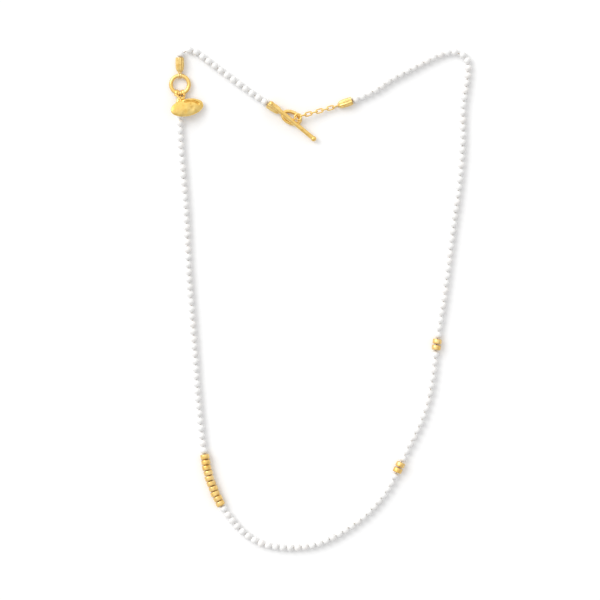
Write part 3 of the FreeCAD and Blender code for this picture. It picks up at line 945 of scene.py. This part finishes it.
def place_caps():
    master = make_cap()
    for name, body in (("charm", "left_upper"), ("top", "short_start"),
                       ("clasp", "short_end"), ("chain", "top_run")):
        node = name + "_end_cap"
        middle = middle_of(node)
        along = (middle_of(name + "_eye_pin") - middle).normalized()
        reach = [(point.co - middle).dot(along) for point in frame["nodes"][node].data.vertices]
        copy = copy_piece(master, "fluted_" + node, facing(middle + along * min(reach), along))
        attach(copy, body)
        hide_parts(node)
    put_away(master)


# ---------------------------------------------------------------- bail
def make_bail():
    """Two flat prongs that wrap the connector ring and hold the charm's pin between them."""
    ring_low, ring_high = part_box("connector_ring")
    ring_middle = (ring_low + ring_high) / 2
    wire_r = (ring_high.z - ring_low.z) / 2
    ring_r = (ring_high.x - ring_low.x) / 2 - wire_r
    pin = Vector(joint("pebble_charm_lift")["pos_m"])
    along = -Vector(joint("pebble_charm_lift")["axis"]).normalized()
    pieces = []
    for side in (-1, 1):
        angle = math.radians(bail_spread * side)
        out = Vector((math.sin(angle), -math.cos(angle), 0))
        centre = ring_middle + out * ring_r
        put_down_everything()
        bpy.ops.mesh.primitive_torus_add(major_segments=40, minor_segments=12,
                                         major_radius=wire_r + bail_play + bail_thick / 2,
                                         minor_radius=bail_thick / 2)
        band = new_piece("bail_band")
        open_for_editing(band)
        bpy.ops.mesh.select_all(action="SELECT")
        bpy.ops.transform.resize(value=(1, 1, bail_wide / bail_thick))
        close_editing()
        band.data.transform(facing(centre, Vector((math.cos(angle), math.sin(angle), 0))))
        pieces.append(band)

        shoulder = centre + (UP * 0.75 + out * 0.66).normalized() * (wire_r + bail_play + bail_thick / 2)
        foot = pin + along * side * (knuckle_long / 2 + bail_foot_wide / 2 + 0.05 * MM)
        leg_run = foot - shoulder
        put_down_everything()
        bpy.ops.mesh.primitive_cylinder_add(vertices=20, radius=bail_thick * 0.62, depth=leg_run.length,
                                            location=(0, 0, leg_run.length / 2))
        leg = new_piece("bail_leg")
        pick_up(leg)
        bpy.ops.object.transform_apply(location=True)
        open_for_editing(leg)
        select_points(leg, lambda co: co.z < leg_run.length / 2)
        bpy.ops.transform.resize(value=(bail_wide / bail_thick * 0.72, 1, 1))
        select_faces(leg, lambda co, normal: normal.z > 0.9)
        bpy.ops.mesh.extrude_region_move(TRANSFORM_OT_translate={"value": (0, 0, 0.2 * MM)})
        bpy.ops.transform.resize(value=(0.6, 0.6, 1))
        close_editing()
        leg.data.transform(facing(shoulder, leg_run))
        pieces.append(leg)
    put_down_everything()
    pin_long = knuckle_long + 2 * bail_foot_wide
    bpy.ops.mesh.primitive_cylinder_add(vertices=20, radius=bail_pin_across / 2, depth=pin_long)
    rod = new_piece("bail_pin")
    open_for_editing(rod)
    select_faces(rod, lambda co, normal: abs(normal.z) > 0.9)
    bpy.ops.mesh.inset(thickness=0.06 * MM, use_individual=True)
    close_editing()
    rod.data.transform(facing(pin, along))
    pieces.append(rod)
    bail = join(pieces, "pronged_bail")
    one = bail.modifiers.new("one_piece", "REMESH")
    one.mode = "VOXEL"
    one.voxel_size = bail_grain
    even = bail.modifiers.new("even", "SMOOTH")
    even.iterations = 3
    apply_changes(bail, "one_piece", "even")
    smooth(bail, 180)
    give_finish(bail, wire_gold)
    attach(bail, "charm_bail")
    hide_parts("charm_bail")


# ---------------------------------------------------------------- pebble charm
def make_charm():
    """A hammered oval pebble with a rolled lip on its upper edge and a hinge knuckle."""
    hinge = joint("pebble_charm_lift")
    pin = Vector(hinge["pos_m"])
    along = -Vector(hinge["axis"]).normalized()
    across = UP.cross(along).normalized()
    face = along.cross(across)
    frame_of_pin = Matrix.Translation(pin) @ Matrix((along, across, face)).transposed().to_4x4()
    to_pin = frame_of_pin.inverted()
    spots = [to_pin @ point.co for point in frame["nodes"]["pebble_charm"].data.vertices]
    left = min(spot.x for spot in spots)
    right = max(spot.x for spot in spots)
    bottom = min(spot.y for spot in spots)
    half_long = (right - left) / 2
    half_wide = charm_wide / 2
    centre = Vector(((left + right) / 2, bottom + half_wide, 0))

    put_down_everything()
    bpy.ops.mesh.primitive_uv_sphere_add(segments=96, ring_count=64, radius=1.0)
    pebble = new_piece("pebble_body")
    open_for_editing(pebble)
    bpy.ops.mesh.select_all(action="SELECT")
    bpy.ops.transform.resize(value=(half_long, half_wide, charm_dome * 1.02))
    bpy.ops.mesh.bisect(plane_co=(0, 0, charm_cut), plane_no=(0, 0, 1), use_fill=False,
                        clear_inner=True, clear_outer=False)
    mesh = bmesh.from_edit_mesh(pebble.data)
    widest = max(point.co.x for point in mesh.verts)
    bpy.ops.mesh.select_all(action="SELECT")
    bpy.ops.transform.resize(value=(half_long / widest * 0.985, half_long / widest * 0.985, 1.0))
    select_edges(pebble, lambda a, b: max(a.z, b.z) < charm_cut + 0.01 * MM)
    bpy.ops.mesh.extrude_region_move(TRANSFORM_OT_translate={"value": (0, 0, -0.2 * MM)})
    bpy.ops.transform.resize(value=(1.012, 1.012, 1.0))
    bpy.ops.mesh.extrude_region_move(TRANSFORM_OT_translate={"value": (0, 0, -0.25 * MM)})
    bpy.ops.transform.resize(value=(0.985, 0.985, 1.0))
    bpy.ops.mesh.extrude_region_move(TRANSFORM_OT_translate={"value": (0, 0, -0.11 * MM)})
    bpy.ops.transform.resize(value=(0.93, 0.93, 1.0))
    for share in (0.85, 0.8, 0.7, 0.5):
        bpy.ops.mesh.extrude_region_move(TRANSFORM_OT_translate={"value": (0, 0, 0)})
        bpy.ops.transform.resize(value=(share, share, 1.0))
    bpy.ops.mesh.edge_face_add()
    bpy.ops.mesh.poke()

    def edge_share(co):
        return math.hypot(co.x / half_long, co.y / half_wide)

    def on_lip(co, low, high):
        angle = math.degrees(math.atan2(co.y / half_wide, co.x / half_long))
        return 8 < angle < 100 and low < edge_share(co) < high and co.z > 0.1 * MM

    select_points(pebble, lambda co: on_lip(co, 0.80, 0.985))
    bpy.ops.transform.translate(value=(0, 0, lip_raise), use_proportional_edit=True,
                                proportional_edit_falloff="SMOOTH", proportional_size=0.45 * MM)
    select_points(pebble, lambda co: on_lip(co, 0.66, 0.76))
    bpy.ops.transform.translate(value=(0, 0, -lip_groove), use_proportional_edit=True,
                                proportional_edit_falloff="SMOOTH", proportional_size=0.35 * MM)
    select_points(pebble, lambda co: math.hypot(co.x - 1.3 * MM, co.y + 0.2 * MM) < 0.6 * MM
                  and co.z > 0.1 * MM)
    bpy.ops.transform.translate(value=(0, 0, -0.1 * MM), use_proportional_edit=True,
                                proportional_edit_falloff="SMOOTH", proportional_size=1.2 * MM)
    close_editing()
    clean(pebble)
    swell(pebble, "pebble_hollows", 1.5 * MM, 0.20 * MM, 2)
    swell(pebble, "pebble_dents", 0.5 * MM, 0.05 * MM, 3)
    pebble.data.transform(Matrix.Translation(centre))

    put_down_everything()
    bpy.ops.mesh.primitive_cylinder_add(vertices=32, radius=knuckle_across / 2, depth=knuckle_long)
    knuckle = new_piece("knuckle")
    open_for_editing(knuckle)
    select_faces(knuckle, lambda co, normal: abs(normal.z) > 0.9)
    bpy.ops.mesh.inset(thickness=(knuckle_across - knuckle_bore) / 2, use_individual=True)
    bpy.ops.mesh.bridge_edge_loops()
    select_edges(knuckle, lambda a, b: abs(a.z - b.z) < 1e-7 and from_axis(a) > knuckle_across * 0.45)
    bpy.ops.mesh.bevel(offset=0.08 * MM, segments=3, affect="EDGES")
    close_editing()
    clean(knuckle)
    knuckle.data.transform(Matrix.Rotation(math.pi / 2, 4, "Y"))

    charm = join([pebble, knuckle], "hammered_pebble")
    charm.data.transform(frame_of_pin)
    smooth(charm, 50)
    give_finish(charm, charm_gold)
    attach(charm, "pebble_charm")
    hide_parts("pebble_charm")


# ---------------------------------------------------------------- making
set_camera()
set_light()
set_table()

pearl_masters = [make_pearl(number) for number in range(pearl_kinds)]
ply_section = make_ply_section()
for bodies, caps in ((long_strand, long_caps), (short_strand, short_caps)):
    strand_beads, strand_start, strand_end = read_strand(bodies, caps)
    string_pearls(strand_beads)
    string_thread(strand_beads, strand_start, strand_end)
for pearl_master in pearl_masters:
    put_away(pearl_master)
bpy.data.objects.remove(ply_section)

place_gold_beads()
place_caps()
make_bail()
make_charm()

for node, obj in frame["nodes"].items():
    if obj.hide_render:
        continue
    give_to = cast_gold if node.endswith("_pin") else wire_gold
    for slot in obj.material_slots:
        slot.material = give_to

put_down_everything()
